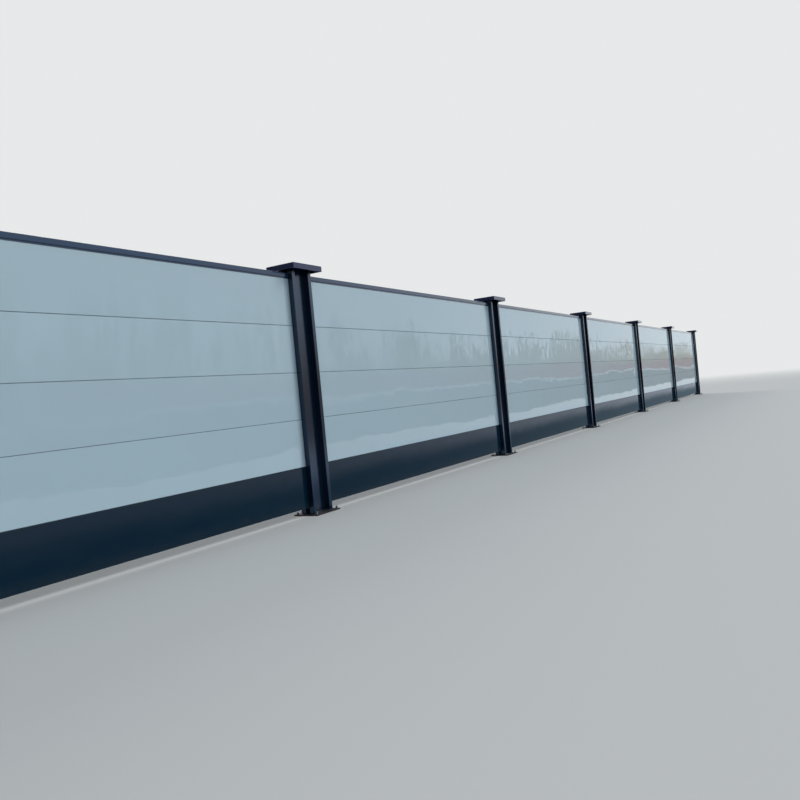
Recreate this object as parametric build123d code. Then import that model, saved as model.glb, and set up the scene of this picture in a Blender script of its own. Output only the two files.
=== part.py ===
from build123d import *
import os

# Driving dimensions, in millimetres.
# X runs along the fence, Y across it, Z up from the ground.
# The origin is under the middle post, at the centre of its base plate.

# Run of the fence
bay_count = 6
bay_pitch = 5000.0  # post centre to post centre

# Folded steel post: four hollow ridges on a flat box, with a wide groove in front and behind
post_width = 310.0  # along the fence
post_depth = 164.0  # across the fence
ridge_width = 50.0
groove_depth = 56.0  # face of the ridges to the bottom of the groove
post_sheet = 2.5
web_thickness = 3.0  # sheet at the bottom of each groove
fold_radius = 4.0
seat_thickness = 4.0  # little shelf in each slot that carries the boards

# Sandwich boards
board_thickness = 50.0
board_cover = 470.0  # height that one white board shows
white_board_count = 4
base_board_height = 410.0
ground_gap = 75.0  # ground to underside of the base board
tongue_height = 12.0
tongue_root = 20.0
tongue_tip = 14.0
joint_chamfer = 4.0

# Top rail: a flat tube with two welded lips that hold the top board
rail_width = 70.0
rail_tube_height = 43.0
rail_lip = 12.0  # lip below the tube, down each face of the top board
rail_sheet = 2.0

# Post cap: a folded tray turned upside down
cap_overhang_along = 78.0
cap_overhang_across = 90.0
cap_height = 54.0
cap_sheet = 2.0
cap_return = 14.0  # inward fold along the tray's lower edge
cap_rise = 26.0  # top of the rail to the lower edge of the cap

# Base plate and its anchor holes
plate_thickness = 12.0
plate_margin_along = 45.0  # plate beyond the post, along the fence
plate_margin_across = 68.0
plate_corner = 12.0
anchor_hole = 18.0
anchor_edge = 30.0  # hole centre to the edges of the plate

# Clearances
slot_clearance = 0.4  # board face to slot face
end_clearance = 5.0  # board end to bottom of the slot
joint_clearance = 0.6  # board to board
lip_clearance = 0.4  # board face to rail lip
rail_end_clearance = 0.6  # rail end to post

# Sizes that follow from the driving dimensions
post_count = bay_count + 1
slot_width = board_thickness + 2 * slot_clearance
slot_depth = ridge_width - post_sheet
ridge_centre = post_width / 2 - ridge_width / 2
board_length = bay_pitch - post_width + 2 * (slot_depth - end_clearance)
rail_length = bay_pitch - post_width - 2 * rail_end_clearance
white_bottom = ground_gap + base_board_height
white_top = white_bottom + white_board_count * board_cover
board_top = white_top + rail_lip
rail_top = board_top + rail_tube_height
fence_height = rail_top + cap_rise + cap_height
post_top = fence_height - cap_sheet

bottom_aligned = (Align.CENTER, Align.CENTER, Align.MIN)


def post_x(number):
    """Place of a post along the fence, the middle of the row being at zero."""
    return (number - 1 - bay_count / 2) * bay_pitch


def bay_x(number):
    """Middle of a bay, between its two posts."""
    return post_x(number) + bay_pitch / 2


# Post


def ridge_section():
    """Section of the two hollow ridges on one side, with the board slot between them."""
    outline = RectangleRounded(ridge_width, post_depth, fold_radius)
    slot_place = Pos((ridge_width - slot_depth) / 2, 0)
    outline -= slot_place * Rectangle(slot_depth, slot_width)
    mouth_line = ridge_width / 2
    mouth = outline.vertices().filter_by_position(Axis.X, mouth_line, mouth_line)
    mouth = mouth.filter_by_position(Axis.Y, -slot_width / 2, slot_width / 2)
    outline = fillet(mouth, fold_radius)
    hollow_width = ridge_width - 2 * post_sheet
    hollow_depth = (post_depth - slot_width) / 2 - 2 * post_sheet
    hollow_middle = (post_depth + slot_width) / 4
    for side in (-1, 1):
        outline -= Pos(0, side * hollow_middle) * Rectangle(hollow_width, hollow_depth)
    return outline


def post_section():
    """Whole section: two webs, with a ridge pair at each end and the slots facing outwards."""
    right = Pos(ridge_centre, 0) * ridge_section()
    section = right + mirror(right, Plane.YZ)
    web_length = post_width - 2 * ridge_width + 2 * post_sheet
    web_place = post_depth / 2 - groove_depth - web_thickness / 2
    for side in (-1, 1):
        section += Pos(0, side * web_place) * Rectangle(web_length, web_thickness)
    return section


def slot_seat(side):
    """Shelf that closes a slot under the boards and carries their weight."""
    x = side * (post_width / 2 - slot_depth / 2)
    shelf = Box(slot_depth, slot_width, seat_thickness, align=bottom_aligned)
    return Pos(x, 0, ground_gap - seat_thickness) * shelf


def make_post(number):
    """One post, from the top of its base plate to the inside of its cap."""
    profile = Pos(0, 0, plate_thickness) * post_section()
    body = extrude(profile, amount=post_top - plate_thickness, dir=(0, 0, 1))
    for side in (-1, 1):
        body += slot_seat(side)
    return Pos(post_x(number), 0, 0) * body


# Cap


def make_cap(number):
    """Upside-down tray that rests on the post and overhangs it all round."""
    length = post_width + 2 * cap_overhang_along
    width = post_depth + 2 * cap_overhang_across
    tray = extrude(RectangleRounded(length, width, fold_radius), amount=cap_height)
    inside_height = cap_height - 2 * cap_sheet
    inside = Box(length - 2 * cap_sheet, width - 2 * cap_sheet, inside_height, align=bottom_aligned)
    tray -= Pos(0, 0, cap_sheet) * inside
    tray -= Box(length - 2 * cap_return, width - 2 * cap_return, cap_sheet, align=bottom_aligned)
    return Pos(post_x(number), 0, fence_height - cap_height) * tray


# Base plate


def make_base_plate(number):
    """Flat plate under a post, with four anchor holes outside the post."""
    length = post_width + 2 * plate_margin_along
    width = post_depth + 2 * plate_margin_across
    plate = extrude(RectangleRounded(length, width, plate_corner), amount=plate_thickness)
    holes = GridLocations(length - 2 * anchor_edge, width - 2 * anchor_edge, 2, 2)
    hole = Cylinder(anchor_hole / 2, plate_thickness, align=bottom_aligned)
    plate -= holes * hole
    return Pos(post_x(number), 0, 0) * plate


# Top rail


def rail_tube_section():
    """Section of the rail's flat tube, drawn with the lower edge of the lips at zero height."""
    place = Pos(0, rail_lip + rail_tube_height / 2)
    tube = RectangleRounded(rail_width, rail_tube_height, rail_sheet)
    tube -= Rectangle(rail_width - 2 * rail_sheet, rail_tube_height - 2 * rail_sheet)
    return place * tube


def rail_lip_section(side):
    """Section of the strip that is welded under the tube on one side of the top board."""
    y = side * (board_thickness / 2 + lip_clearance + rail_sheet / 2)
    return Pos(y, rail_lip / 2) * Rectangle(rail_sheet, rail_lip)


def along_fence(section, length):
    """Extrudes a section, drawn across and up, along the fence about its middle."""
    upright = Plane(origin=(-length / 2, 0, 0), x_dir=(0, 1, 0), z_dir=(1, 0, 0))
    return extrude(upright * section, amount=length)


def make_top_rail(number):
    """Rail of one bay: a tube on the top board, with a strip down each face of the board."""
    sections = [rail_tube_section(), rail_lip_section(-1), rail_lip_section(1)]
    place = Pos(bay_x(number), 0, white_top)
    return Compound([place * along_fence(section, rail_length) for section in sections])


# Boards


def board_section(height, has_tongue, has_groove):
    """Section of a board: chamfered long edges, a tongue above and a groove below."""
    half = board_thickness / 2
    if has_groove:
        right = [
            (tongue_tip / 2 + joint_clearance, tongue_height + joint_clearance),
            (tongue_root / 2 + joint_clearance, joint_clearance),
            (half - joint_chamfer, joint_clearance),
            (half, joint_clearance + joint_chamfer),
        ]
    else:
        right = [(half, 0)]
    if has_tongue:
        right += [
            (half, height - joint_chamfer),
            (half - joint_chamfer, height),
            (tongue_root / 2, height),
            (tongue_tip / 2, height + tongue_height),
        ]
    else:
        right += [(half, height)]
    left = [(-y, z) for y, z in reversed(right)]
    return make_face(Polyline(*right, *left, close=True))


def make_white_boards(number):
    """White boards of one bay, stacked on the base board."""
    boards = []
    for index in range(white_board_count):
        top_one = index == white_board_count - 1
        height = board_cover + (rail_lip if top_one else 0)
        board = along_fence(board_section(height, not top_one, True), board_length)
        boards.append(Pos(bay_x(number), 0, white_bottom + index * board_cover) * board)
    return Compound(boards)


def make_base_board(number):
    """Dark board at the foot of one bay, seated on the slot shelves."""
    board = along_fence(board_section(base_board_height, True, False), board_length)
    return Pos(bay_x(number), 0, ground_gap) * board


def write_node(name, shape):
    """Writes one sub-part to its own file."""
    export_step(shape, f"parts/{name}.step")


os.makedirs("parts", exist_ok=True)
for post_number in range(1, post_count + 1):
    write_node(f"post_{post_number}", make_post(post_number))
    write_node(f"post_cap_{post_number}", make_cap(post_number))
    write_node(f"base_plate_{post_number}", make_base_plate(post_number))
for bay_number in range(1, bay_count + 1):
    write_node(f"top_rail_{bay_number}", make_top_rail(bay_number))
    write_node(f"white_boards_{bay_number}", make_white_boards(bay_number))
    write_node(f"base_board_{bay_number}", make_base_board(bay_number))
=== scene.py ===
# %% [markdown]
# Steel construction hoarding, dressed for its picture.
#
# The real thing is a row of folded steel posts, bolted down through their base plates, with stacks
# of steel-skinned boards slid between them. Workshops coat the sheet before they fold it, so every
# face starts out smooth and glossy, and what tells the eye that it is real is slight: the skins
# wave a little, dust settles on the ledges, rain leaves faint streaks, and welds stay rougher.
#
# The solid model already holds each post, cap, plate, rail and board at its real size. It is loaded
# first as a fixed frame, and finishes and fasteners take their places from it, in metres. X runs
# along the fence, Y goes across it towards the back, and Z is up.

# %% Load the solid model
from math import cos, e, pi, radians, sin

import bmesh
import bpy
from mathutils import Matrix, Vector


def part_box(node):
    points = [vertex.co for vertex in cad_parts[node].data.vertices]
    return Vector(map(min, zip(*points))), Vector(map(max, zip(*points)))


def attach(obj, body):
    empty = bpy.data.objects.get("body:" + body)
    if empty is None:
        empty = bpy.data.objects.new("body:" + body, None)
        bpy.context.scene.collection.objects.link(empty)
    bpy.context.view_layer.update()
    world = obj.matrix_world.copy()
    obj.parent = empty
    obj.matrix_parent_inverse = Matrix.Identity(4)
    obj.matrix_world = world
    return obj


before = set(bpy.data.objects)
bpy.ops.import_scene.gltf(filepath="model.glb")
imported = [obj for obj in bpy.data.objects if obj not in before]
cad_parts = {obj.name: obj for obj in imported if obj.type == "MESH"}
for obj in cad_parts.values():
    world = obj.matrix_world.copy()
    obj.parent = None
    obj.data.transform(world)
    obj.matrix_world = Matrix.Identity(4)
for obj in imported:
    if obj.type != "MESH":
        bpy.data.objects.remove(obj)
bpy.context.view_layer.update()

# %% [markdown]
# Finishes need to know where things are: a streak starts under a rail, and dirt gathers in a
# joint. Reading those heights from the model keeps the paint and the metal together if a size
# is ever changed. Typing them in again would be quicker, but they would drift apart.

# %% Read the measures that the finishes and fasteners follow
post_low, post_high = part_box("post_4")
cap_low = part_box("post_cap_4")[0]
plate_low, plate_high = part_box("base_plate_4")
rail_low, rail_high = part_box("top_rail_1")
white_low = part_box("white_boards_1")[0]
base_low, base_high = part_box("base_board_1")

POSTS = sum(name.startswith("base_plate_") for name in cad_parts)
BAYS = POSTS - 1
PITCH = (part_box(f"base_plate_{POSTS}")[0].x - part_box("base_plate_1")[0].x) / BAYS
BOARDS_A_BAY = 4
BOARD_COVER = (rail_low.z - white_low.z) / BOARDS_A_BAY
print(f"{POSTS} posts at {PITCH:.2f} m, boards cover {BOARD_COVER:.3f} m")

# %% [markdown]
# The picture is taken from chest height, close to the fence, with a phone held a little askew, so
# the posts lean in it although they stand upright. A camera needs four things for that: where it
# is, where it points, how far it is rolled, and its lens. They were found by fitting the corners
# of posts and boards, which is surer than turning the camera by eye.

# %% Camera
SENSOR_WIDTH_MM = 36.0
LENS_MM = 33.47
CLIP_NEAR = 0.1
CLIP_FAR = 2000.0
EYE = Vector((-16.051, -4.616, 1.118))
PAN = radians(30.23)
TILT = radians(-0.46)
ROLL = radians(5.43)


def camera_axes(pan, tilt, roll):
    """Axes of a camera that looks along X turned by pan towards Y, then up by tilt."""
    forward = Vector((cos(pan) * cos(tilt), sin(pan) * cos(tilt), sin(tilt)))
    level_right = Vector((sin(pan), -cos(pan), 0))
    level_down = forward.cross(level_right)
    right = cos(roll) * level_right + sin(roll) * level_down
    down = cos(roll) * level_down - sin(roll) * level_right
    return right, -down, -forward


camera_data = bpy.data.cameras.new("fence_camera")
camera_data.lens = LENS_MM
camera_data.sensor_width = SENSOR_WIDTH_MM
camera_data.clip_start = CLIP_NEAR
camera_data.clip_end = CLIP_FAR
camera = bpy.data.objects.new("fence_camera", camera_data)
bpy.context.scene.collection.objects.link(camera)
turn = Matrix(camera_axes(PAN, TILT, ROLL)).transposed()
camera.matrix_world = Matrix.Translation(EYE) @ turn.to_4x4()
bpy.context.scene.camera = camera
print("camera at", tuple(round(v, 3) for v in EYE))

# %% [markdown]
# Materials here are graphs of nodes. Small helpers keep each graph short enough to read: one adds
# a node and plugs in its inputs, and the others wrap the few nodes that every finish uses.
# All patterns read Object coordinates. Each piece sits unturned at the origin, so these are
# plain metres on the fence, and a pattern runs on from board to board as light does.

# %% Node helpers


def add(tree, kind, inputs=None, **settings):
    """Adds a node. An input is given a value, or the output of another node."""
    made = tree.nodes.new(kind)
    for name, value in settings.items():
        setattr(made, name, value)
    for name, value in (inputs or {}).items():
        if isinstance(value, bpy.types.NodeSocket):
            tree.links.new(value, made.inputs[name])
        else:
            made.inputs[name].default_value = value
    return made


def arith(tree, operation, first, second=0.0, third=0.0):
    """One step of arithmetic between numbers or outputs."""
    inputs = {0: first, 1: second, 2: third}
    return add(tree, "ShaderNodeMath", inputs, operation=operation).outputs[0]


def fade(tree, value, start, end, low=0.0, high=1.0):
    """Goes smoothly from low to high while value goes from start to end."""
    inputs = {"Value": value, "From Min": start, "From Max": end, "To Min": low, "To Max": high}
    kind = "ShaderNodeMapRange"
    return add(tree, kind, inputs, interpolation_type="SMOOTHSTEP").outputs["Result"]


def object_place(tree):
    """Place on the fence, in metres."""
    return add(tree, "ShaderNodeTexCoord").outputs["Object"]


def split(tree, vector):
    """X, Y and Z of a place."""
    return add(tree, "ShaderNodeSeparateXYZ", {0: vector}).outputs


def joined(tree, **parts):
    """A vector from its X, Y and Z. What isn't given is zero."""
    return add(tree, "ShaderNodeCombineXYZ", parts).outputs[0]


def blend_colour(tree, factor, first, second):
    """Mixes two colours, each a value or an output. They are the node's inputs 6 and 7."""
    node = add(tree, "ShaderNodeMix", data_type="RGBA")
    for index, value in ((0, factor), (6, first), (7, second)):
        if isinstance(value, bpy.types.NodeSocket):
            tree.links.new(value, node.inputs[index])
        elif index:
            node.inputs[index].default_value = (*value, 1.0)
        else:
            node.inputs[index].default_value = value
    return node.outputs[2]


print("node helpers ready")

# %% Helpers for patterns and finishes


def clouds(tree, place, size, detail=3.0, rough=0.5):
    """Soft noise, from 0 to 1. size is its grain in metres, along X, Y and Z."""
    inputs = {"Vector": place, "Scale": tuple(1 / s for s in size)}
    scaled = add(tree, "ShaderNodeMapping", inputs).outputs[0]
    inputs = {"Vector": scaled, "Scale": 1.0, "Detail": detail, "Roughness": rough}
    return add(tree, "ShaderNodeTexNoise", inputs).outputs[0]


def patches(tree, place, size, span, share=(0.0, 1.0), **grain):
    """Noise in patches: the first share up to the start of span, the last past its end."""
    return fade(tree, clouds(tree, place, size, **grain), *span, *share)


def relief(tree, height, depth, under=None):
    """Turns a height from 0 to 1 into bumps of that depth in metres."""
    inputs = {"Height": height, "Strength": 1.0, "Distance": depth}
    if under is not None:
        inputs["Normal"] = under
    return add(tree, "ShaderNodeBump", inputs).outputs[0]


def finish_of(title, **fixed):
    """A material with one main shader, whose unchanging inputs are set on its own sockets."""
    material = bpy.data.materials.new(title)
    material.use_nodes = True
    tree = material.node_tree
    shader = tree.nodes["Principled BSDF"]
    for name, value in fixed.items():
        shader.inputs[name.replace("_", " ")].default_value = value
    return material, tree, shader


def plug(tree, shader, **links):
    """Joins outputs to the shader's inputs."""
    for name, output in links.items():
        tree.links.new(output, shader.inputs[name.replace("_", " ")])


print("pattern helpers ready")

# %% [markdown]
# The floor and the light belong to the studio and not to the fence. The floor is plain and pale
# and runs on out of sight. A horizon line would cross the picture at the camera's odd angle, so
# far from the fence the floor shows the camera the backdrop's own colour, and the two can't be told
# apart. Near the fence it stays an ordinary floor, which keeps the shadows.
#
# Gloss is another matter. A mirror is only seen to be one when there is something to tell apart in
# it. So any ray but the camera's own finds two strips on the far floor: a bright one, and then a dim
# one up to the horizon. Close by, gloss alone finds a dim floor that brightens outwards, which the
# lowest boards mirror. A studio lays out white and black cards for the same end. Here they cost no
# extra objects, because the floor's material knows its distance from the fence and the kind of ray.

# %% Floor
BACKDROP = (0.80, 0.815, 0.82)
FLOOR_TONE = (0.48, 0.495, 0.50)
FLOOR_HALF = 1800.0
# Distance over which the camera sees the floor turn into the backdrop
SEEN_FADE = (22.0, 70.0)
# What gloss finds beside the fence, and then for each strip the distance from the fence where it
# starts to show and where it is full, and its tone
MIRRORED_NEAR = (0.21, 0.29, 0.35)
MIRRORED_STRIPS = [
    (1.2, 3.0, (0.73, 0.81, 0.94)),
    (3.2, 4.8, (0.86, 0.88, 0.89)),
    (6.4, 6.8, (0.25, 0.22, 0.195)),
]
# From here on the strips also light the fence
LIT_FROM = MIRRORED_STRIPS[1][:2]


def make_floor():
    """Flat square under the fence, with its top at zero height."""
    mesh = bpy.data.meshes.new("studio_floor")
    corners = [(-1, -1), (1, -1), (1, 1), (-1, 1)]
    points = [(x * FLOOR_HALF, y * FLOOR_HALF, 0) for x, y in corners]
    mesh.from_pydata(points, [], [(0, 1, 2, 3)])
    floor = bpy.data.objects.new("studio_floor", mesh)
    bpy.context.scene.collection.objects.link(floor)
    return floor


def floor_finish():
    """Matt pale floor. Far off, the camera sees the backdrop and a mirror sees the strips."""
    material, tree, shader = finish_of("pale_floor", Roughness=0.9, Specular_IOR_Level=0.1)
    shader.inputs["Base Color"].default_value = (*FLOOR_TONE, 1)
    place = object_place(tree)
    distance = add(tree, "ShaderNodeVectorMath", {0: place}, operation="LENGTH").outputs["Value"]
    across = arith(tree, "ABSOLUTE", split(tree, place)["Y"])
    ray = add(tree, "ShaderNodeLightPath").outputs
    seen = ray["Is Camera Ray"]
    far_seen = arith(tree, "MULTIPLY", fade(tree, distance, *SEEN_FADE), seen)
    unseen = arith(tree, "SUBTRACT", 1.0, seen)
    painted = arith(tree, "MAXIMUM", fade(tree, across, *LIT_FROM), ray["Is Glossy Ray"])
    far_unseen = arith(tree, "MULTIPLY", painted, unseen)
    tone = MIRRORED_NEAR
    for edge, full, next_tone in MIRRORED_STRIPS:
        tone = blend_colour(tree, fade(tree, across, edge, full), tone, next_tone)
    tone = blend_colour(tree, seen, tone, BACKDROP)
    glow = add(tree, "ShaderNodeEmission", {"Color": tone, "Strength": 1.0})
    far = arith(tree, "ADD", far_seen, far_unseen)
    mixed = add(tree, "ShaderNodeMixShader", {0: far, 1: shader.outputs[0], 2: glow.outputs[0]})
    tree.links.new(mixed.outputs[0], tree.nodes["Material Output"].inputs["Surface"])
    return material


floor = make_floor()
floor.data.materials.append(floor_finish())
print("floor", 2 * FLOOR_HALF, "m wide, with", len(MIRRORED_STRIPS), "mirrored strips")

# %% [markdown]
# Just over the horizon the dome of light has a dim band with a ragged upper edge, brown below and
# olive above, and a thin bright line under it. They keep one height all along the fence, as a long
# card beside it would. The boards mirror all this at eye height, and it is there that their waves
# show. A real card would need to be modelled and hidden from the camera. A few nodes that read the
# direction of a ray do the same.

# %% Tones at the horizon
# Heights are those on a card that stands along the fence, one metre away
LINE_TONE = (0.48, 0.48, 0.48)
LINE_TOP = (0.0085, 0.0060)
BAND_LOW_TONE = (0.29, 0.15, 0.11)
BAND_HIGH_TONE = (0.34, 0.28, 0.18)
BAND_MIDDLE = (0.045, 0.085)
BAND_TOP = (0.085, 0.200)
TEETH_SIZE = (0.032, 0.50, 1.0)
TEETH_SPAN = (0.36, 0.66)
# The teeth are crisp where the eye skims the boards and melt away where it looks straight on
TEETH_SOFTNESS = (0.32, 0.62, 0.006, 0.090)


def horizon_tones(tree, way, above):
    """Puts a bright line and a dim band with a ragged top under the colour above them."""
    x, y, z = split(tree, way)
    across = arith(tree, "ABSOLUTE", y)
    height = arith(tree, "DIVIDE", z, across)
    # The logarithm widens the teeth with their distance, so that the far bays show them too
    along = arith(tree, "DIVIDE", arith(tree, "ABSOLUTE", x), across)
    spot = joined(tree, X=arith(tree, "LOGARITHM", along, e), Y=height)
    top = patches(tree, spot, TEETH_SIZE, TEETH_SPAN, BAND_TOP)
    over = arith(tree, "SUBTRACT", height, top)
    soft = fade(tree, across, *TEETH_SOFTNESS)
    past_band = fade(tree, over, arith(tree, "MULTIPLY", soft, -1.0), soft)
    band = blend_colour(tree, fade(tree, height, *BAND_MIDDLE), BAND_LOW_TONE, BAND_HIGH_TONE)
    tone = blend_colour(tree, past_band, band, above)
    return blend_colour(tree, fade(tree, height, *LINE_TOP), tone, LINE_TONE)


print("band from", LINE_TOP[0], "to", BAND_TOP[1], "over the horizon")

# %% [markdown]
# Light for the fence is a soft dome and two wide lamps. In the picture every face that looks
# back along the fence is nearly black, and every face that looks out of the front is lit, so the
# dome is brighter on the right and the front, and the main lamp hangs there. A weaker one lights
# the back. The dome is a little cool and the lamps a little warm, so that together they are
# neutral, while gloss, which sees the dome alone, turns slightly blue. The level is chosen so that
# a colour comes out about as it is written in its material.

# %% Dome
DOME_LEVEL = 0.86
DOME_ZENITH = 0.90
DOME_RISE = (0.1, 0.9)
DOME_TINT = (0.92, 0.965, 1.01)
BRIGHT_SIDE = Vector((0.75, -0.66, 0.0))
SIDE_SPAN = (-0.95, 0.95)
SIDE_LEVELS = (0.22, 1.24)


def light_dome():
    """Soft dome for light and reflections, and a plain backdrop for the camera."""
    world = bpy.data.worlds.new("studio_dome")
    world.use_nodes = True
    tree = world.node_tree
    tree.nodes.clear()
    way = add(tree, "ShaderNodeTexCoord").outputs["Generated"]
    rise = fade(tree, split(tree, way)["Z"], *DOME_RISE)
    low_tone = tuple(DOME_LEVEL * c for c in DOME_TINT)
    high_tone = tuple(DOME_ZENITH * c for c in DOME_TINT)
    tone = horizon_tones(tree, way, blend_colour(tree, rise, low_tone, high_tone))
    toward = add(tree, "ShaderNodeVectorMath", {0: way, 1: BRIGHT_SIDE}, operation="DOT_PRODUCT")
    side = fade(tree, toward.outputs["Value"], *SIDE_SPAN, *SIDE_LEVELS)
    dome = add(tree, "ShaderNodeBackground", {"Color": tone, "Strength": side})
    plain = add(tree, "ShaderNodeBackground", {"Color": (*BACKDROP, 1), "Strength": 1.0})
    seen = add(tree, "ShaderNodeLightPath").outputs["Is Camera Ray"]
    mixed = add(tree, "ShaderNodeMixShader", {0: seen, 1: dome.outputs[0], 2: plain.outputs[0]})
    out = add(tree, "ShaderNodeOutputWorld")
    tree.links.new(mixed.outputs[0], out.inputs["Surface"])
    return world


bpy.context.scene.world = light_dome()
bpy.context.scene.view_settings.view_transform = "Standard"
print("dome at", SIDE_LEVELS, "of its level on its two sides")

# %% Lamps
# Where each lamp shines from, and its strength
LAMPS = {
    "main_lamp": (Vector((0.55, -0.62, 0.75)), 1.08),
    "back_lamp": (Vector((0.60, 0.80, 0.70)), 0.88),
}
LAMP_TINT = (1.0, 0.985, 0.955)
LAMP_SPREAD = radians(28)


def hang_lamp(title, source, strength):
    """Wide, even lamp that shines from the direction of source."""
    data = bpy.data.lights.new(title, "SUN")
    data.energy = strength
    data.color = LAMP_TINT
    data.angle = LAMP_SPREAD
    lamp = bpy.data.objects.new(title, data)
    lamp.rotation_mode = "QUATERNION"
    lamp.rotation_quaternion = source.to_track_quat("Z", "Y")
    bpy.context.scene.collection.objects.link(lamp)


for title, (source, strength) in LAMPS.items():
    hang_lamp(title, source, strength)
print(len(LAMPS), "lamps ready")

# %% [markdown]
# Boards for such fences are a light core between two skins of coil-coated steel. The coat goes on
# in a mill, so it is even and glossy, but the thin skin isn't quite flat once it is glued down.
# From close by nobody sees it. Further off, where the eye skims along the fence, the reflections
# break up: long swells, from how the skin was glued, carry shorter ripples. Two bumps make them,
# one on top of the other. Moving the mesh would do it too, but a wave of a millimetre or two over
# half a metre would cost thousands of faces.

# %% Shared patterns of the coil-coated boards
SWELL_SIZE = (1.6, 1.0, 0.50)
SWELL_DEPTH = 0.0050
RIPPLE_SIZE = (0.24, 1.0, 0.30)
RIPPLE_DEPTH = 0.0017
STREAK_SIZE = (0.012, 1.0, 0.9)
STREAK_SPAN = (0.56, 0.78)


def wavy_skin(tree, place):
    """Normal of a thin steel skin with swells and ripples in it."""
    swells = relief(tree, clouds(tree, place, SWELL_SIZE, detail=0.0), SWELL_DEPTH)
    return relief(tree, clouds(tree, place, RIPPLE_SIZE, detail=1.0), RIPPLE_DEPTH, swells)


def boards_up(tree, up):
    """Height over the foot of the white boards, counted in boards."""
    return arith(tree, "DIVIDE", arith(tree, "SUBTRACT", up, white_low.z), BOARD_COVER)


def board_shift(tree, along, up):
    """A number from 0 to 1 for each board."""
    bay = arith(tree, "FLOOR", arith(tree, "DIVIDE", along, PITCH))
    row = arith(tree, "FLOOR", boards_up(tree, up))
    inputs = {"Vector": joined(tree, X=bay, Y=row)}
    return add(tree, "ShaderNodeTexWhiteNoise", inputs, noise_dimensions="2D").outputs["Value"]


def below_joint(tree, up):
    """Depth below the joint above, in metres."""
    rest = arith(tree, "SUBTRACT", 1.0, arith(tree, "FRACT", boards_up(tree, up)))
    return arith(tree, "MULTIPLY", rest, BOARD_COVER)


def streaks(tree, place):
    """Thin upright streaks, as rain leaves them."""
    return patches(tree, place, STREAK_SIZE, STREAK_SPAN, detail=2.0)


print("swells", SWELL_SIZE[0], "m long, ripples", RIPPLE_SIZE[0], "m long")

# %% [markdown]
# The white boards look flat and clean at first, and would look like plastic if they were. Three
# thin layers go over the coat: a film of dust, thicker lower down, rain streaks that start under
# each joint, and dirt in the joints themselves. Painted by hand on a picture they could show more,
# but would fit one size only. As patterns in metres they fit any board. Each board also differs a
# little in tone, as sheets from different coils do.

# %% White board finish
WHITE = (0.350, 0.482, 0.562)
WHITE_DUSTY = (0.340, 0.450, 0.500)
BOARD_SPREAD = 1.05
WHITE_FILM_SIZE = (0.9, 0.9, 0.35)
WHITE_FILM_SPAN = (0.35, 0.75)
# The film thickens from this height over the boards' foot down to it, from one share to the other
WHITE_FILM_RISE = 0.45
WHITE_FILM_SHARE = (0.08, 0.16)
JOINT_DIRT = (0.120, 0.165, 0.190)
# Distance from a joint where streaks and dirt end and where they are full, and their shares there
STREAK_REACH = (0.30, 0.01, 0.0, 0.30)
JOINT_REACH = (0.0050, 0.0010, 0.0, 0.60)
SMUDGE_SIZE = (0.25, 0.25, 0.18)
SMUDGE_SPAN = (0.3, 0.75)
WHITE_ROUGHNESS = (0.010, 0.026)
WHITE_DULLING = 0.08


def white_enamel():
    """Gloss off-white coil coat, with a little dust, faint streaks and dark joints."""
    material, tree, shader = finish_of("white_enamel", Specular_IOR_Level=0.5)
    place = object_place(tree)
    along, _, up = split(tree, place)
    lighter = tuple(BOARD_SPREAD * c for c in WHITE)
    colour = blend_colour(tree, board_shift(tree, along, up), WHITE, lighter)
    film = patches(tree, place, WHITE_FILM_SIZE, WHITE_FILM_SPAN, detail=5.0, rough=0.6)
    low_down = fade(tree, up, white_low.z + WHITE_FILM_RISE, white_low.z, *WHITE_FILM_SHARE)
    film = arith(tree, "MULTIPLY", film, low_down)
    colour = blend_colour(tree, film, colour, WHITE_DUSTY)
    drop = below_joint(tree, up)
    run = arith(tree, "MULTIPLY", streaks(tree, place), fade(tree, drop, *STREAK_REACH))
    colour = blend_colour(tree, run, colour, WHITE_DUSTY)
    gap = arith(tree, "MINIMUM", drop, arith(tree, "SUBTRACT", BOARD_COVER, drop))
    colour = blend_colour(tree, fade(tree, gap, *JOINT_REACH), colour, JOINT_DIRT)
    rough = patches(tree, place, SMUDGE_SIZE, SMUDGE_SPAN, WHITE_ROUGHNESS, detail=4.0)
    rough = arith(tree, "MULTIPLY_ADD", arith(tree, "ADD", film, run), WHITE_DULLING, rough)
    plug(tree, shader, Base_Color=colour, Roughness=rough, Normal=wavy_skin(tree, place))
    return material


print("white enamel, boards up to", BOARD_SPREAD, "times lighter")

# %% [markdown]
# The lowest board is the same sandwich board with a blue-black coat, there because a white one
# would be spattered by the first rain. A dark gloss hides its own colour: most of what is seen is
# what it mirrors. So its colour is nearly black, and the dust and the dried splashes along its
# lower edge do the work of showing where the surface is.

# %% Dark base board finish
BLUE_BLACK = (0.0010, 0.0135, 0.0305)
DARK_DUSTY = (0.020, 0.034, 0.046)
DARK_FILM_SIZE = (0.7, 0.7, 0.22)
DARK_FILM_SPAN = (0.35, 0.8)
DARK_FILM_SHARE = (0.0, 0.10)
SPLASH_DUST = (0.060, 0.062, 0.058)
SPECK_SIZE = (0.006, 0.006, 0.006)
SPECK_SPAN = (0.60, 0.72)
# Share of splash dust between the specks, and how much more there is in them
SPLASH_SHARE = 0.12
SPECK_SHARE = 0.40
# Clouds of this size take up to so much off a spot's height
SPLASH_EDGE_SIZE = (0.20, 0.20, 0.06)
SPLASH_WANDER = 0.12
# What is left of it, over the board's foot, where splashes end and where they are full
SPLASH_REACH = (0.05, -0.09)
# Depths below the board's top where dust starts and where it is full, and its share there
TONGUE_DUST = (0.018, 0.012, 0.3)
DARK_ROUGHNESS = 0.05
DARK_DULLING = 0.8


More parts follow.
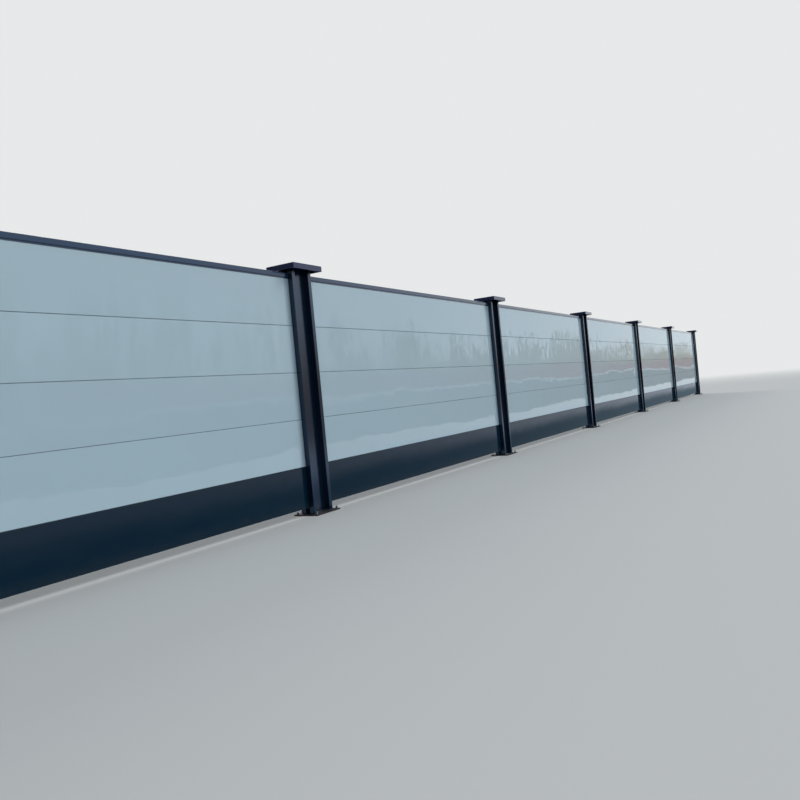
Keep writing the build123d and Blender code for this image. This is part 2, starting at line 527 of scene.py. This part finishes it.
def dried_splashes(tree, place, up):
    """Fine dried splashes, only in the lowest hand's breadth."""
    specks = patches(tree, place, SPECK_SIZE, SPECK_SPAN, detail=2.0)
    edge = clouds(tree, place, SPLASH_EDGE_SIZE)
    height = arith(tree, "MULTIPLY_ADD", edge, -SPLASH_WANDER, up)
    end, start = (base_low.z + reach for reach in SPLASH_REACH)
    density = arith(tree, "MULTIPLY_ADD", specks, SPECK_SHARE, SPLASH_SHARE)
    return arith(tree, "MULTIPLY", fade(tree, height, end, start), density)


def dark_enamel():
    """Gloss blue-black coil coat with dried splashes along its foot."""
    material, tree, shader = finish_of("dark_enamel", Specular_IOR_Level=0.20)
    place = object_place(tree)
    up = split(tree, place)["Z"]
    grain = {"detail": 5.0, "rough": 0.62}
    film = patches(tree, place, DARK_FILM_SIZE, DARK_FILM_SPAN, DARK_FILM_SHARE, **grain)
    splash = dried_splashes(tree, place, up)
    start, end, share = TONGUE_DUST
    tongue = fade(tree, up, base_high.z - start, base_high.z - end, 0.0, share)
    colour = blend_colour(tree, film, BLUE_BLACK, DARK_DUSTY)
    colour = blend_colour(tree, splash, colour, SPLASH_DUST)
    colour = blend_colour(tree, tongue, colour, SPLASH_DUST)
    dulled = arith(tree, "ADD", film, splash)
    rough = arith(tree, "MULTIPLY_ADD", dulled, DARK_DULLING, DARK_ROUGHNESS)
    plug(tree, shader, Base_Color=colour, Roughness=rough, Normal=wavy_skin(tree, place))
    return material


print("dark enamel, splashed up to", round(SPLASH_REACH[0] + SPLASH_WANDER, 2), "m")

# %% [markdown]
# Posts, caps and rails are powder coated. The powder melts into a satin skin with a faint
# orange peel, and it chips rather than wears: near the foot, where it is knocked most, small
# chips show brown. Dust lies on whatever faces up, and rain washes rust down from the screws under
# the caps. All three parts share one recipe with their own colour and gloss, so that they look
# like one product from one workshop. The layers come first, each as a share from 0 to 1.

# %% Dust, chips and rust on the powder coat
SETTLED_DUST = (0.090, 0.090, 0.084)
DUST_SIZE = (0.14, 0.14, 0.14)
# How far a face looks up where dust starts and where it is full, and the clouds of that dust
LEDGE_FACING = (0.4, 0.95)
LEDGE_CLOUDS = (0.3, 0.7, 0.2, 0.5)
# Heights where the dust low on a post ends and where it is full, its shares, and its clouds
LOW_DUST = (0.16, 0.0, 0.0, 0.35)
LOW_CLOUDS = (0.42, 0.66)
RUST = (0.052, 0.024, 0.016)
CHIP_SIZE = (0.008, 0.008, 0.012)
CHIP_SPAN = (0.70, 0.73)
CHIP_HEIGHTS = (0.35, 0.05)


def settled_dust(tree, place, up):
    """Dust on ledges and, thinly, low on the posts."""
    facing = split(tree, add(tree, "ShaderNodeNewGeometry").outputs["Normal"])["Z"]
    cloud = clouds(tree, place, DUST_SIZE, detail=7.0, rough=0.72)
    ledge = fade(tree, cloud, *LEDGE_CLOUDS)
    ledge = arith(tree, "MULTIPLY", fade(tree, facing, *LEDGE_FACING), ledge)
    low = fade(tree, cloud, *LOW_CLOUDS)
    low = arith(tree, "MULTIPLY", fade(tree, up, *LOW_DUST), low)
    return arith(tree, "MAXIMUM", ledge, low)


def rust_chips(tree, place, up):
    """Chips down to rusty steel, only low on the post."""
    chip = patches(tree, place, CHIP_SIZE, CHIP_SPAN, detail=2.0)
    return arith(tree, "MULTIPLY", chip, fade(tree, up, *CHIP_HEIGHTS))


print("chips up to", CHIP_HEIGHTS[0], "m high")

# %% Rust that runs from the screws under the caps
RUST_RUN = (0.115, 0.066, 0.038)
RIDGE_WIDTH = 0.050
CAP_SCREW_DROP = 0.017
SCREW_LINE = (post_high.x - post_low.x - RIDGE_WIDTH) / 2
SCREW_HEIGHT = cap_low.z - CAP_SCREW_DROP
# Distances from the screw where the run ends and where it is full, sideways and down, and its
# start over the screw
RUN_SIDES = (0.012, 0.003)
RUN_BOTTOM = (0.18, 0.04)
RUN_TOP = 0.003
RUN_STREAKS = (0.0, 0.6, 0.25, 0.75)
# It lies on the outer faces of the ridges. This far behind them it ends and is full
RUN_SKIN = (0.002, 0.001)


def along_from_post(tree, along):
    """Distance along the fence from the middle of the nearest post."""
    place = arith(tree, "PINGPONG", along, PITCH / 2)
    return arith(tree, "SUBTRACT", PITCH / 2, place) if POSTS % 2 == 0 else place


def rust_runs(tree, place):
    """Rust that rain has washed down the ridges from the cap screws."""
    along, across, up = split(tree, place)
    beside = arith(tree, "SUBTRACT", along_from_post(tree, along), SCREW_LINE)
    end, full = (SCREW_HEIGHT - reach for reach in RUN_BOTTOM)
    back, front = (post_high.y - depth for depth in RUN_SKIN)
    run = fade(tree, arith(tree, "ABSOLUTE", beside), *RUN_SIDES)
    for limit in (
        fade(tree, up, end, full),
        fade(tree, up, SCREW_HEIGHT + RUN_TOP, SCREW_HEIGHT),
        fade(tree, streaks(tree, place), *RUN_STREAKS),
        fade(tree, arith(tree, "ABSOLUTE", across), back, front),
    ):
        run = arith(tree, "MULTIPLY", run, limit)
    return run


print("cap screws", round(SCREW_HEIGHT, 3), "m high")

# %% [markdown]
# With the layers made, the coat itself is short: a tone, marks where it was handled, the layers on
# top, and the faint orange peel as a bump. Gloss on a powder coat isn't all alike. Fine flakes in
# the powder tint what it mirrors face on, and a thin clear layer shows where the eye skims along it.

# %% Powder coat
PEEL_SIZE = (0.0035, 0.0035, 0.0035)
PEEL_DEPTH = 0.00003
CHIP_DEPTH = 0.0002
MARK_SPAN = (0.45, 0.75)
MARK_SHARE = (0.0, 0.30)
MARK_FADING = 1.6
MARK_DULLING = 0.25
DUST_DULLING = 0.4


def powder_coat(title, tone, sheen, specular, roughness, lacquer, drag):
    """Semi-gloss powder coat.

    sheen tints what it mirrors face on, lacquer is the share of the clear layer, and drag is
    the size of the dulled marks that handling leaves."""
    material, tree, shader = finish_of(
        title,
        Specular_IOR_Level=specular,
        Specular_Tint=(*sheen, 1),
        Coat_Weight=lacquer,
        Coat_IOR=1.3,
        Coat_Roughness=0.12,
    )
    place = object_place(tree)
    up = split(tree, place)["Z"]
    marks = patches(tree, place, drag, MARK_SPAN, MARK_SHARE)
    dust = settled_dust(tree, place, up)
    chip = rust_chips(tree, place, up)
    run = rust_runs(tree, place)
    colour = blend_colour(tree, marks, tone, tuple(MARK_FADING * c for c in tone))
    for share, layer in ((dust, SETTLED_DUST), (chip, RUST), (run, RUST_RUN)):
        colour = blend_colour(tree, share, colour, layer)
    rough = arith(tree, "MULTIPLY_ADD", marks, MARK_DULLING, roughness)
    dulled = arith(tree, "MAXIMUM", dust, run)
    rough = arith(tree, "MULTIPLY_ADD", dulled, DUST_DULLING, rough)
    bumps = relief(tree, clouds(tree, place, PEEL_SIZE, detail=1.0), PEEL_DEPTH)
    bumps = relief(tree, arith(tree, "SUBTRACT", 1.0, chip), CHIP_DEPTH, bumps)
    plug(tree, shader, Base_Color=colour, Roughness=rough, Normal=bumps)
    return material


print("powder coat ready")

# %% [markdown]
# Base plates get a coat of dark primer and then lie where water stands. The picture shows a
# red-brown line along the plate's edge, so rust creeps in from the edges, and mud and dust lie in
# between. The distance from the nearest plate's middle says where the edge is, so one material
# serves all seven plates.

# %% Base plate finish
PRIMER = (0.010, 0.012, 0.016)
MUD = (0.044, 0.040, 0.036)
EDGE_RUST = (0.038, 0.014, 0.011)
BLOTCH_SIZE = (0.03, 0.03, 0.03)
BLOTCH_DEPTH = 0.0008
# Blotches take up to so much off the distance from the edge
RUST_WANDER = 0.03
# What is left of it where rust ends and where it is full, and its shares there
RUST_REACH = (-0.009, -0.019, 0.0, 0.8)
MUD_SIZE = (0.08, 0.08, 0.08)
MUD_SPAN = (0.42, 0.68)
MUD_SHARE = (0.05, 0.8)
PLATE_ROUGHNESS = 0.5
PLATE_DULLING = 0.4


def plate_coat():
    """Dark primer with rust from the edges and dried mud."""
    material, tree, shader = finish_of("plate_coat", Specular_IOR_Level=0.3)
    place = object_place(tree)
    along, across, _ = split(tree, place)
    half_length = (plate_high.x - plate_low.x) / 2
    half_width = (plate_high.y - plate_low.y) / 2
    to_end = arith(tree, "SUBTRACT", half_length, along_from_post(tree, along))
    to_side = arith(tree, "SUBTRACT", half_width, arith(tree, "ABSOLUTE", across))
    inward = arith(tree, "MINIMUM", to_end, to_side)
    blotch = clouds(tree, place, BLOTCH_SIZE, detail=5.0, rough=0.65)
    rust = arith(tree, "MULTIPLY_ADD", blotch, -RUST_WANDER, inward)
    rust = fade(tree, rust, *RUST_REACH)
    mud = patches(tree, place, MUD_SIZE, MUD_SPAN, MUD_SHARE, detail=5.0)
    colour = blend_colour(tree, mud, PRIMER, MUD)
    colour = blend_colour(tree, rust, colour, EDGE_RUST)
    dulled = arith(tree, "MAXIMUM", mud, rust)
    rough = arith(tree, "MULTIPLY_ADD", dulled, PLATE_DULLING, PLATE_ROUGHNESS)
    bumps = relief(tree, blotch, BLOTCH_DEPTH)
    plug(tree, shader, Base_Color=colour, Roughness=rough, Normal=bumps)
    return material


print("plate coat, rusty up to", round(RUST_WANDER + RUST_REACH[0], 3), "m from the edge")

# %% [markdown]
# Anchors, nuts and cap screws come zinc plated and are never painted. New zinc is bright, but a
# season outdoors turns it dull and patchy, and the first red rust shows in small spots. One bloom
# dulls colour, gloss and surface alike, so they change in the same places.

# %% Zinc finish
ZINC = (0.34, 0.35, 0.36)
ZINC_DULL = (0.16, 0.165, 0.165)
BLOOM_SIZE = (0.012, 0.012, 0.012)
BLOOM_SPAN = (0.35, 0.65)
BLOOM_DEPTH = 0.0001
ZINC_ROUGHNESS = (0.3, 0.7, 0.36, 0.58)
SPOT_SIZE = (0.006, 0.006, 0.006)
SPOT_SPAN = (0.62, 0.72)
SPOT_SHARE = (0.0, 0.7)


def zinc_plate():
    """Dull zinc with a first bloom of rust."""
    material, tree, shader = finish_of("zinc_plate", Metallic=0.85)
    place = object_place(tree)
    bloom = clouds(tree, place, BLOOM_SIZE, detail=4.0)
    colour = blend_colour(tree, fade(tree, bloom, *BLOOM_SPAN), ZINC, ZINC_DULL)
    spots = patches(tree, place, SPOT_SIZE, SPOT_SPAN, SPOT_SHARE)
    colour = blend_colour(tree, spots, colour, RUST)
    rough = fade(tree, bloom, *ZINC_ROUGHNESS)
    bumps = relief(tree, bloom, BLOOM_DEPTH)
    plug(tree, shader, Base_Color=colour, Roughness=rough, Normal=bumps)
    return material


ZINC_FINISH = zinc_plate()
print(ZINC_FINISH.name, "has", len(ZINC_FINISH.node_tree.nodes), "nodes")

# %% [markdown]
# Now the solid parts get their finishes. The model's own names say what each part is, so a table
# from the start of a name to its material dresses all of them, and a part with a new name would
# stop the script instead of staying grey.

# %% Dress the solid parts
CAP_RECIPE = {
    "tone": (0.0170, 0.0240, 0.0760),
    "sheen": (0.85, 0.88, 1.0),
    "specular": 0.12,
    "roughness": 0.15,
    "lacquer": 1.0,
    "drag": (0.05, 0.05, 0.05),
}
POST_RECIPE = {
    "tone": (0.0011, 0.0070, 0.0180),
    "sheen": (0.52, 0.69, 1.0),
    "specular": 0.96,
    "roughness": 0.17,
    "lacquer": 0.0,
    "drag": (0.02, 0.02, 0.6),
}
RAIL_RECIPE = {
    "tone": (0.0050, 0.0300, 0.0860),
    "sheen": (0.85, 0.95, 1.0),
    "specular": 0.30,
    "roughness": 0.20,
    "lacquer": 1.0,
    "drag": (0.6, 0.02, 0.02),
}
FINISHES = {
    "post_cap": powder_coat("cap_coat", **CAP_RECIPE),
    "post": powder_coat("post_coat", **POST_RECIPE),
    "base_plate": plate_coat(),
    "top_rail": powder_coat("rail_coat", **RAIL_RECIPE),
    "white_boards": white_enamel(),
    "base_board": dark_enamel(),
}


def dress(name, piece):
    """Gives a solid part the finish that its name calls for."""
    family = name.rstrip("0123456789").rstrip("_")
    piece.material_slots[0].material = FINISHES[family]
    return family


dressed = [dress(name, piece) for name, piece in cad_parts.items()]
print("dressed", {family: dressed.count(family) for family in FINISHES})

# %% [markdown]
# A nut is a six-sided bar with its corners turned off at the ends. In numbers: walk round the nut,
# and at each angle the radius is the hexagon's or the turning tool's cone, whichever is less. That
# one rule gives the curved chamfer that a scaled six-sided cylinder lacks. The same walk, with
# the radius swinging in and out as it climbs, cuts the thread of the stud.

# %% Turned shapes


def lathe(mesh, rows, sides):
    """Skins rings of points, listed from the bottom up, and closes both ends.

    A row is a height and a function that gives the radius at an angle."""
    rings = []
    for height, radius in rows:
        ring = []
        for step in range(sides):
            angle = 2 * pi * step / sides
            reach = radius(angle)
            ring.append(mesh.verts.new((reach * cos(angle), reach * sin(angle), height)))
        rings.append(ring)
    for lower, upper in zip(rings, rings[1:]):
        for step in range(sides):
            after = (step + 1) % sides
            mesh.faces.new((lower[step], lower[after], upper[after], upper[step]))
    mesh.faces.new(rings[0][::-1])
    mesh.faces.new(rings[-1])


def plain_round(radius):
    """The same radius at every angle."""
    return lambda angle: radius


def hexagon(across_flats, cone):
    """Radius of a hexagon, or of the cone that trims its corners where that is less."""

    def radius(angle):
        turned = (angle + pi / 6) % (pi / 3) - pi / 6
        return min(across_flats / 2 / cos(turned), cone)

    return radius


print("lathe ready")

# %% Washers, nuts and threads
WASHER_SOFTNESS = 0.2
# Shares of a nut's width: radius of the flat end face, and chamfer
NUT_END = 0.47
NUT_CHAMFER = 0.075
# Rings of a nut's end, as shares of the chamfer in depth and in width
NUT_RINGS = ((0.0, 0.0), (0.3, 0.5), (0.6, 1.0))
THREAD_STEPS = 4
THREAD_DEPTH = 0.55


def washer_rows(bottom, outer, thickness):
    """Flat washer with softened edges."""
    soft = WASHER_SOFTNESS * thickness
    top = bottom + thickness
    lower = [(bottom, outer - soft), (bottom + soft, outer)]
    upper = [(top - soft, outer), (top, outer - soft)]
    return [(height, plain_round(radius)) for height, radius in lower + upper]


def nut_rows(bottom, across_flats, height):
    """Hexagon nut with both ends turned off."""
    chamfer = NUT_CHAMFER * across_flats
    end = NUT_END * across_flats
    top = bottom + height
    lower = [(bottom + depth * chamfer, end + share * chamfer) for depth, share in NUT_RINGS]
    upper = [(top - depth * chamfer, end + share * chamfer) for depth, share in NUT_RINGS[::-1]]
    return [(level, hexagon(across_flats, cone)) for level, cone in lower + upper]


def thread_rows(bottom, top, radius, pitch):
    """Stud whose radius swings in and out once a pitch, with the crest climbing as it turns."""
    steps = round((top - bottom) / pitch * THREAD_STEPS)
    deep = THREAD_DEPTH * pitch
    rows = []
    for step in range(steps + 1):
        height = bottom + (top - bottom) * step / steps
        near_tip = min(1.0, (top - height) / pitch)

        def reach(angle, height=height, near_tip=near_tip):
            phase = 2 * pi * height / pitch - angle
            return radius - 0.5 * (1 + cos(phase)) * deep - (1 - near_tip) * deep

        rows.append((height, reach))
    return rows


print("washers, nuts and threads ready")

# %% [markdown]
# Three kinds of fastener hold the fence together: an anchor with its nut and washer, a hexagon
# screw under the cap, and a low domed screw in the rail's lip. Each is turned once, and only its
# copies are shown, so a change to one changes them all.

# %% Anchor and screws, each modelled once
ANCHOR_RADIUS = 0.008
ANCHOR_STAND = 0.026
ANCHOR_THREAD = 0.002
STUD_SINK = 0.001
NUT_FLATS = 0.024
NUT_HEIGHT = 0.013
WASHER_RADIUS = 0.015
WASHER_THICKNESS = 0.003
CAP_SCREW_FLATS = 0.013
CAP_SCREW_HEAD = 0.0055
CAP_WASHER_RADIUS = 0.0115
CAP_WASHER_THICKNESS = 0.0016
RAIL_SCREW_RADIUS = 0.0042
RAIL_SCREW_HEAD = 0.0020
RAIL_SCREW_STEPS = 4
RAIL_SCREW_CURVE = radians(80)
NUT_SIDES = 24
STUD_SIDES = 14
SCREW_SIDES = 16


def source_piece(title, *parts):
    """Joins lathed parts, each given as its rows and its sides, into one hidden source."""
    mesh = bmesh.new()
    for rows, sides in parts:
        lathe(mesh, rows, sides)
    bmesh.ops.recalc_face_normals(mesh, faces=mesh.faces)
    data = bpy.data.meshes.new(title)
    mesh.to_mesh(data)
    mesh.free()
    return bpy.data.objects.new(title, data)


def anchor_source():
    """Washer, nut and the threaded end of the stud, standing on the plate."""
    stud_bottom = WASHER_THICKNESS + NUT_HEIGHT - STUD_SINK
    washer = washer_rows(0, WASHER_RADIUS, WASHER_THICKNESS)
    nut = nut_rows(WASHER_THICKNESS, NUT_FLATS, NUT_HEIGHT)
    stud = thread_rows(stud_bottom, ANCHOR_STAND, ANCHOR_RADIUS, ANCHOR_THREAD)
    return source_piece("anchor_source", (washer, NUT_SIDES), (nut, NUT_SIDES), (stud, STUD_SIDES))


def cap_screw_source():
    """Hexagon screw with a captive washer."""
    washer = washer_rows(0, CAP_WASHER_RADIUS, CAP_WASHER_THICKNESS)
    head = nut_rows(CAP_WASHER_THICKNESS, CAP_SCREW_FLATS, CAP_SCREW_HEAD)
    return source_piece("cap_screw_source", (washer, SCREW_SIDES), (head, NUT_SIDES))


def rail_screw_source():
    """Low domed head."""
    rows = []
    for step in range(RAIL_SCREW_STEPS + 1):
        angle = step / RAIL_SCREW_STEPS * RAIL_SCREW_CURVE
        rows.append((RAIL_SCREW_HEAD * sin(angle), plain_round(RAIL_SCREW_RADIUS * cos(angle))))
    return source_piece("rail_screw_source", (rows, SCREW_SIDES))


SOURCES = {
    "anchor": anchor_source(),
    "cap_screw": cap_screw_source(),
    "rail_screw": rail_screw_source(),
}
for title, source in SOURCES.items():
    print(title, len(source.data.polygons), "faces")

# %% [markdown]
# Every fastener on the fence sits in the same kind of pattern: a group of holes in rows and
# columns, and that group again at each post or bay. So one Geometry Nodes tree places them
# all, with the counts and spacings as named inputs. A line of points is made, a small grid of
# points is put on each, and the fastener is put on every grid point, turned at random as a
# wrench leaves it. The tree ends by making the copies real, since a file of plain meshes
# can't hold instances.

# %% Geometry Nodes helpers


def start_tree(title, inputs):
    """A tree with a geometry input, the named inputs, and a geometry output."""
    tree = bpy.data.node_groups.new(title, "GeometryNodeTree")
    tree.is_modifier = True
    for name, kind in ({"Geometry": "Geometry"} | inputs).items():
        tree.interface.new_socket(name, in_out="INPUT", socket_type=f"NodeSocket{kind}")
    tree.interface.new_socket("Geometry", in_out="OUTPUT", socket_type="NodeSocketGeometry")
    return tree, add(tree, "NodeGroupInput").outputs


def copies(tree, points, shape, **turns):
    """Puts a copy of a shape on every point."""
    inputs = {"Points": points, "Instance": shape} | turns
    return add(tree, "GeometryNodeInstanceOnPoints", inputs).outputs[0]


def random_number(tree, seed, low, high):
    """A random number for each point. The node's inputs 2 and 3 are its bounds."""
    inputs = {"Seed": seed, 2: low, 3: high}
    return add(tree, "FunctionNodeRandomValue", inputs, data_type="FLOAT").outputs[1]


def made_real(tree, geometry):
    """Turns copies into plain geometry."""
    return add(tree, "GeometryNodeRealizeInstances", {"Geometry": geometry}).outputs[0]


def end_tree(tree, geometry, finish):
    """Ends a tree in Realize Instances and Set Material."""
    inputs = {"Geometry": made_real(tree, geometry), "Material": finish}
    done = add(tree, "GeometryNodeSetMaterial", inputs).outputs[0]
    tree.links.new(done, add(tree, "NodeGroupOutput").inputs["Geometry"])


def grow(title, tree, values, base=None):
    """Runs a tree on a base mesh and returns the result as a plain mesh object."""
    piece = bpy.data.objects.new(title, base or bpy.data.meshes.new(f"{title}_base"))
    bpy.context.scene.collection.objects.link(piece)
    modifier = piece.modifiers.new("grow", "NODES")
    modifier.node_group = tree
    identifiers = {
        item.name: item.identifier
        for item in tree.interface.items_tree
        if item.in_out == "INPUT"
    }
    for name, value in values.items():
        modifier[identifiers[name]] = value
    shown = piece.evaluated_get(bpy.context.evaluated_depsgraph_get())
    mesh = bpy.data.meshes.new_from_object(shown)
    piece.modifiers.remove(modifier)
    piece.data = mesh
    mesh.name = title
    return piece


print("tree helpers ready")

# %% The tree that places every fastener
FRONT_AND_BACK = 2


def fastener_spots(tree, given):
    """A small grid of points at each post or bay."""
    gaps = arith(tree, "SUBTRACT", given["Groups"], 1)
    length = arith(tree, "MULTIPLY", gaps, given["Group pitch"])
    first = joined(tree, X=arith(tree, "MULTIPLY", length, -0.5), Z=given["Height"])
    step = joined(tree, X=given["Group pitch"])
    inputs = {"Count": given["Groups"], "Start Location": first, "Offset": step}
    line = add(tree, "GeometryNodeMeshLine", inputs, mode="OFFSET").outputs[0]
    sizes = {"Size X": given["Width"], "Size Y": given["Depth"]}
    counts = {"Vertices X": given["Columns"], "Vertices Y": FRONT_AND_BACK}
    grid = add(tree, "GeometryNodeMeshGrid", sizes | counts).outputs[0]
    return made_real(tree, copies(tree, line, grid))


def fastener_turn(tree, given):
    """Stands a fastener up, or points it outwards, and spins it at random."""
    across = split(tree, add(tree, "GeometryNodeInputPosition").outputs[0])["Y"]
    axis = add(tree, "GeometryNodeSwitch", {0: given["Face outwards"]}, input_type="VECTOR")
    axis.inputs["False"].default_value = (0, 0, 1)
    tree.links.new(joined(tree, Y=arith(tree, "SIGN", across)), axis.inputs["True"])
    aligned = add(tree, "FunctionNodeAlignRotationToVector", {"Vector": axis.outputs[0]}, axis="Z")
    twist = joined(tree, Z=random_number(tree, given["Seed"], 0.0, 2 * pi))
    twist = add(tree, "FunctionNodeEulerToRotation", {0: twist}).outputs[0]
    inputs = {"Rotation": aligned.outputs[0], "Rotate By": twist}
    return add(tree, "FunctionNodeRotateRotation", inputs, rotation_space="LOCAL").outputs[0]


def fastener_tree():
    """Groups of fasteners, evenly along the fence."""
    inputs = {name: "Int" for name in ("Groups", "Columns", "Seed")}
    inputs |= {name: "Float" for name in ("Group pitch", "Width", "Depth", "Height")}
    inputs |= {"Face outwards": "Bool", "Fastener": "Object", "Finish": "Material"}
    tree, given = start_tree("fastener_groups", inputs)
    spots = fastener_spots(tree, given)
    turn = fastener_turn(tree, given)
    shape = add(tree, "GeometryNodeObjectInfo", {"Object": given["Fastener"]}).outputs["Geometry"]
    end_tree(tree, copies(tree, spots, shape, Rotation=turn), given["Finish"])
    return tree


FASTENERS = fastener_tree()
print("fastener tree has", len(FASTENERS.nodes), "nodes")

# %% [markdown]
# With the tree made, each kind of fastener is one call. Anchors stand in the corner holes of the
# base plates. Zinc screws under each cap hold the cap to the ridges of the post, front and back.
# Painted screws with low heads hold the rail's lips to the top board.

# %% Place the fasteners
ANCHOR_EDGE = 0.030
RAIL_SCREWS_A_SIDE = 8
RAIL_SCREW_MARGIN = 0.150
RAIL_LIP_FACE = 0.0274
RAIL_LIP_HEIGHT = 0.012


def keep(piece):
    """Hangs a finished piece under the fence's root body, so it belongs to the fence, and prints its
    count of faces.
    """
    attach(piece, "root")
    print(piece.name, len(piece.data.polygons), "faces")


def place_fasteners(title, source, finish, **values):
    """Runs the fastener tree for one kind of fastener."""
    named = {name.replace("_", " "): value for name, value in values.items()}
    shared = {"Group pitch": PITCH, "Fastener": SOURCES[source], "Finish": finish}
    return grow(title, FASTENERS, shared | named)


anchors = place_fasteners(
    "ground_anchors",
    "anchor",
    ZINC_FINISH,
    Groups=POSTS,
    Columns=2,
    Width=plate_high.x - plate_low.x - 2 * ANCHOR_EDGE,
    Depth=plate_high.y - plate_low.y - 2 * ANCHOR_EDGE,
    Height=plate_high.z,
    Seed=3,
)
cap_screws = place_fasteners(
    "cap_screws",
    "cap_screw",
    ZINC_FINISH,
    Groups=POSTS,
    Columns=2,
    Width=2 * SCREW_LINE,
    Depth=post_high.y - post_low.y,
    Height=SCREW_HEIGHT,
    Face_outwards=True,
    Seed=5,
)
rail_screws = place_fasteners(
    "rail_screws",
    "rail_screw",
    FINISHES["top_rail"],
    Groups=BAYS,
    Columns=RAIL_SCREWS_A_SIDE,
    Width=rail_high.x - rail_low.x - 2 * RAIL_SCREW_MARGIN,
    Depth=2 * RAIL_LIP_FACE,
    Height=rail_low.z + RAIL_LIP_HEIGHT / 2,
    Face_outwards=True,
    Seed=7,
)
keep(anchors)
keep(cap_screws)
keep(rail_screws)
for source in SOURCES.values():
    bpy.data.objects.remove(source)

# %% [markdown]
# Short welds join each post to its plate, and a weld bead is a row of ripples, one for each time
# the arc pauses. So the beads grow from lines: the foot of the post is drawn as edges, the tree
# turns them into curves, cuts them at an even pitch and sets one flattened ripple on each cut,
# squared to the line. Ripples vary a little in size, as they do by hand. The weld was coated
# together with the post, so it has the post's finish.

# %% The tree that lays weld beads
BEAD_SEGMENTS = 6
BEAD_RINGS = 4
BEAD_SPREAD = (0.82, 1.15)


def bead_tree():
    """Turns edges into rows of weld ripples."""
    inputs = {"Pitch": "Float", "Radius": "Float", "Flatness": "Float", "Seed": "Int"}
    tree, given = start_tree("weld_beads", inputs | {"Finish": "Material"})
    curve = add(tree, "GeometryNodeMeshToCurve", {"Mesh": given["Geometry"]}).outputs[0]
    spaced = {"Curve": curve, "Length": given["Pitch"]}
    cut = add(tree, "GeometryNodeResampleCurve", spaced, mode="LENGTH").outputs[0]
    ball = {"Segments": BEAD_SEGMENTS, "Rings": BEAD_RINGS, "Radius": given["Radius"]}
    ripple = add(tree, "GeometryNodeMeshUVSphere", ball).outputs["Mesh"]
    along = add(tree, "GeometryNodeInputTangent").outputs[0]
    squared = add(tree, "FunctionNodeAlignRotationToVector", {"Vector": along}, axis="X").outputs[0]
    size = random_number(tree, given["Seed"], *BEAD_SPREAD)
    scale = joined(tree, X=arith(tree, "MULTIPLY", size, given["Flatness"]), Y=size, Z=size)
    end_tree(tree, copies(tree, cut, ripple, Rotation=squared, Scale=scale), given["Finish"])
    return tree


BEADS = bead_tree()
print("bead tree has", len(BEADS.nodes), "nodes")

# %% Weld beads at the feet of the posts
GROOVE_DEPTH = 0.056
SLOT_HALF = 0.0254
FOLD_RADIUS = 0.004


def foot_lines():
    """Ends of the straight runs round one post's foot, as pairs of X and Y from its middle."""
    end = (post_high.x - post_low.x) / 2
    front = (post_high.y - post_low.y) / 2
    inner = end - RIDGE_WIDTH
    bottom = front - GROOVE_DEPTH
    quarter = [
        ((end, SLOT_HALF + FOLD_RADIUS), (end, front - FOLD_RADIUS)),
        ((end - FOLD_RADIUS, front), (inner + FOLD_RADIUS, front)),
        ((inner, front - FOLD_RADIUS), (inner, bottom)),
        ((inner, bottom), (0, bottom)),
    ]
    sides = [(sx, sy) for sx in (-1, 1) for sy in (-1, 1)]
    return [[(sx * x, sy * y) for x, y in run] for sx, sy in sides for run in quarter]


def foot_edges():
    """Mesh of loose edges at the feet of all posts, on top of their plates."""
    points = []
    for post in range(POSTS):
        middle = (post - BAYS / 2) * PITCH
        for run in foot_lines():
            points += [(middle + x, y, plate_high.z) for x, y in run]
    mesh = bpy.data.meshes.new("foot_edges")
    mesh.from_pydata(points, [(n, n + 1) for n in range(0, len(points), 2)], [])
    return mesh


weld_values = {
    "Pitch": 0.0034,
    "Radius": 0.0042,
    "Flatness": 0.62,
    "Seed": 11,
    "Finish": FINISHES["post"],
}
keep(grow("weld_beads", BEADS, weld_values, foot_edges()))
